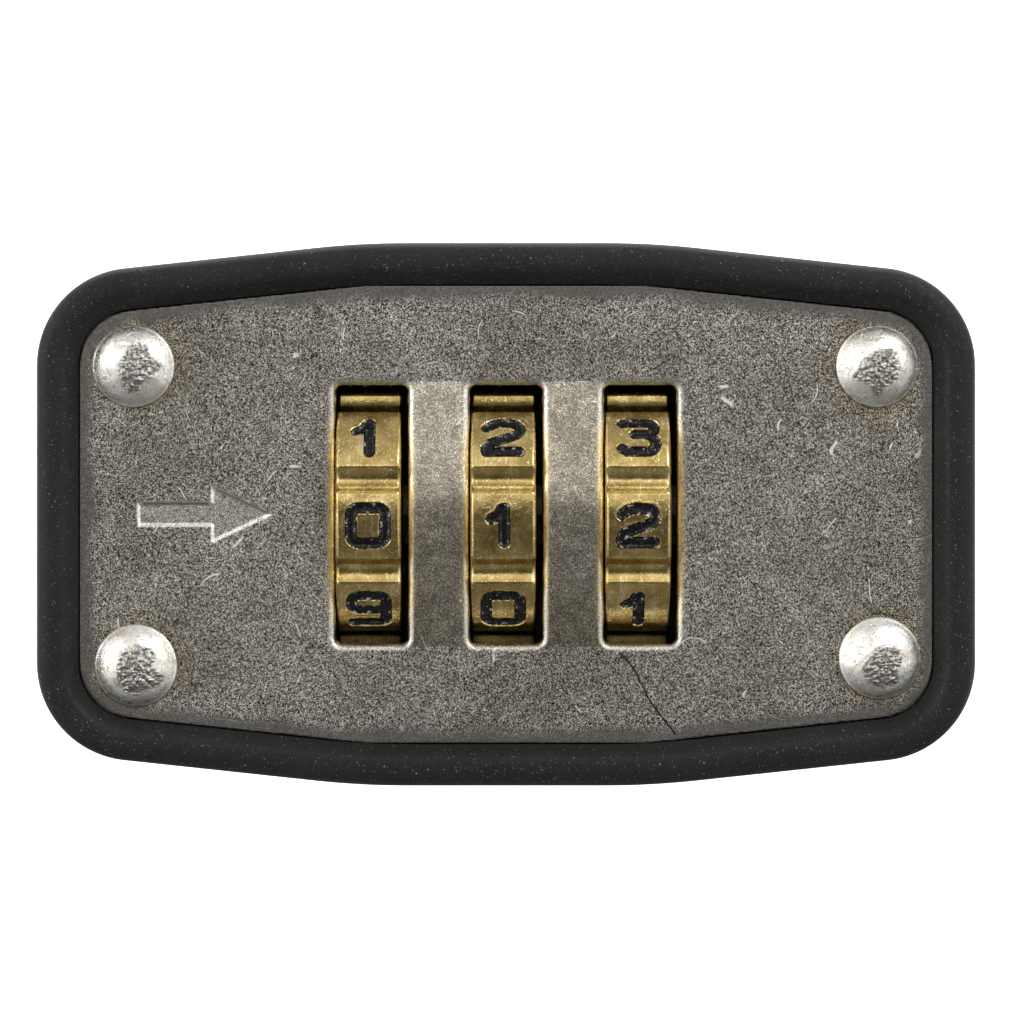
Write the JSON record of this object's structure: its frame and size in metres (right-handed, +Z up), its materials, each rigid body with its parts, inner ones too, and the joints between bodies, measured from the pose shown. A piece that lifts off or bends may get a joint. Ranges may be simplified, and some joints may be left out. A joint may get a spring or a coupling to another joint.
{
  "type": "key lock box",
  "caption": "Small wall-mounted key safe with a hinged door, number dials behind a metal plate and black rubber bumpers.",
  "frame": {"origin": "centre of the flat back face that rests on the wall", "axes": "+X right and +Z up as seen from the front; +Y into the wall, so the dials face -Y"},
  "size_m": [0.07, 0.04, 0.0406],
  "materials": {
    "cast_zinc": "satin cast zinc",
    "tumbled_nickel": "dull tumbled nickel plate with a fine grain",
    "bright_rivet": "bright hammered steel",
    "plated_steel": "zinc-plated steel",
    "blackened_steel": "oiled black-oxide steel",
    "spring_steel": "polished spring steel",
    "dial_brass": "satin turned brass",
    "dial_paint": "glossy black paint in the numerals",
    "bumper_rubber": "satin black moulded rubber",
    "slide_plastic": "satin black plastic",
    "foam_pad": "matt closed-cell foam"
  },
  "bodies": {
    "key_box": {"key_case": "cast_zinc", "rear_bumper": "bumper_rubber", "backing_pad": "foam_pad", "keeper": "plated_steel", "hinge_pin": "plated_steel", "keeper_screw_1": "plated_steel", "keeper_screw_2": "plated_steel"},
    "door": {"lock_case": "cast_zinc", "front_bumper": "bumper_rubber", "front_plate": "tumbled_nickel", "lock_cover": "cast_zinc", "rivet_1": "bright_rivet", "rivet_2": "bright_rivet", "rivet_3": "bright_rivet", "rivet_4": "bright_rivet", "cover_screw_1": "plated_steel", "cover_screw_2": "plated_steel", "cover_screw_3": "plated_steel", "cover_screw_4": "plated_steel", "wheel_axle": "plated_steel", "axle_clip": "spring_steel", "detent_spring": "spring_steel", "detent_screw_1": "plated_steel", "detent_screw_2": "plated_steel", "slide_detent_spring": "spring_steel", "change_spring": "spring_steel"},
    "wheel_1": {"number_wheel_1": "dial_brass"},
    "wheel_2": {"number_wheel_2": "dial_brass"},
    "wheel_3": {"number_wheel_3": "dial_brass"},
    "cam_1": {"code_cam_1": "blackened_steel"},
    "cam_2": {"code_cam_2": "blackened_steel"},
    "cam_3": {"code_cam_3": "blackened_steel"},
    "bolt": {"lock_slide": "plated_steel", "thumb_slide": "slide_plastic", "thumb_screw": "plated_steel"},
    "code_change": {"change_slide": "plated_steel"}
  },
  "joints": [
    {"name": "door_hinge", "type": "hinge", "parent": "key_box", "child": "door", "pos_m": [0.0334, -0.01515, 0], "axis": [0, 0, 1], "range_deg": [0, 105]},
    {"name": "wheel_1_spin", "type": "hinge", "parent": "door", "child": "wheel_1", "pos_m": [0, -0.029, 0], "axis": [1, 0, 0], "continuous": true, "deforming": ["detent_spring"]},
    {"name": "wheel_2_spin", "type": "hinge", "parent": "door", "child": "wheel_2", "pos_m": [0, -0.029, 0], "axis": [1, 0, 0], "continuous": true},
    {"name": "wheel_3_spin", "type": "hinge", "parent": "door", "child": "wheel_3", "pos_m": [0, -0.029, 0], "axis": [1, 0, 0], "continuous": true},
    {"name": "bolt_slide", "type": "slide", "parent": "door", "child": "bolt", "axis": [-1, 0, 0], "range_m": [0, 0.0028]},
    {"name": "code_change_slide", "type": "slide", "parent": "door", "child": "code_change", "axis": [1, 0, 0], "range_m": [-0.0013, 0], "deforming": ["change_spring"]},
    {"name": "cam_1_shift", "type": "slide", "parent": "wheel_1", "child": "cam_1", "axis": [1, 0, 0], "range_m": [-0.0013, 0]},
    {"name": "cam_2_shift", "type": "slide", "parent": "wheel_2", "child": "cam_2", "axis": [1, 0, 0], "range_m": [-0.0013, 0]},
    {"name": "cam_3_shift", "type": "slide", "parent": "wheel_3", "child": "cam_3", "axis": [1, 0, 0], "range_m": [-0.0013, 0]}
  ],
  "couplings": [
    {"joint": "cam_1_shift", "follows": "code_change_slide", "ratio": 1},
    {"joint": "cam_2_shift", "follows": "code_change_slide", "ratio": 1},
    {"joint": "cam_3_shift", "follows": "code_change_slide", "ratio": 1}
  ]
}
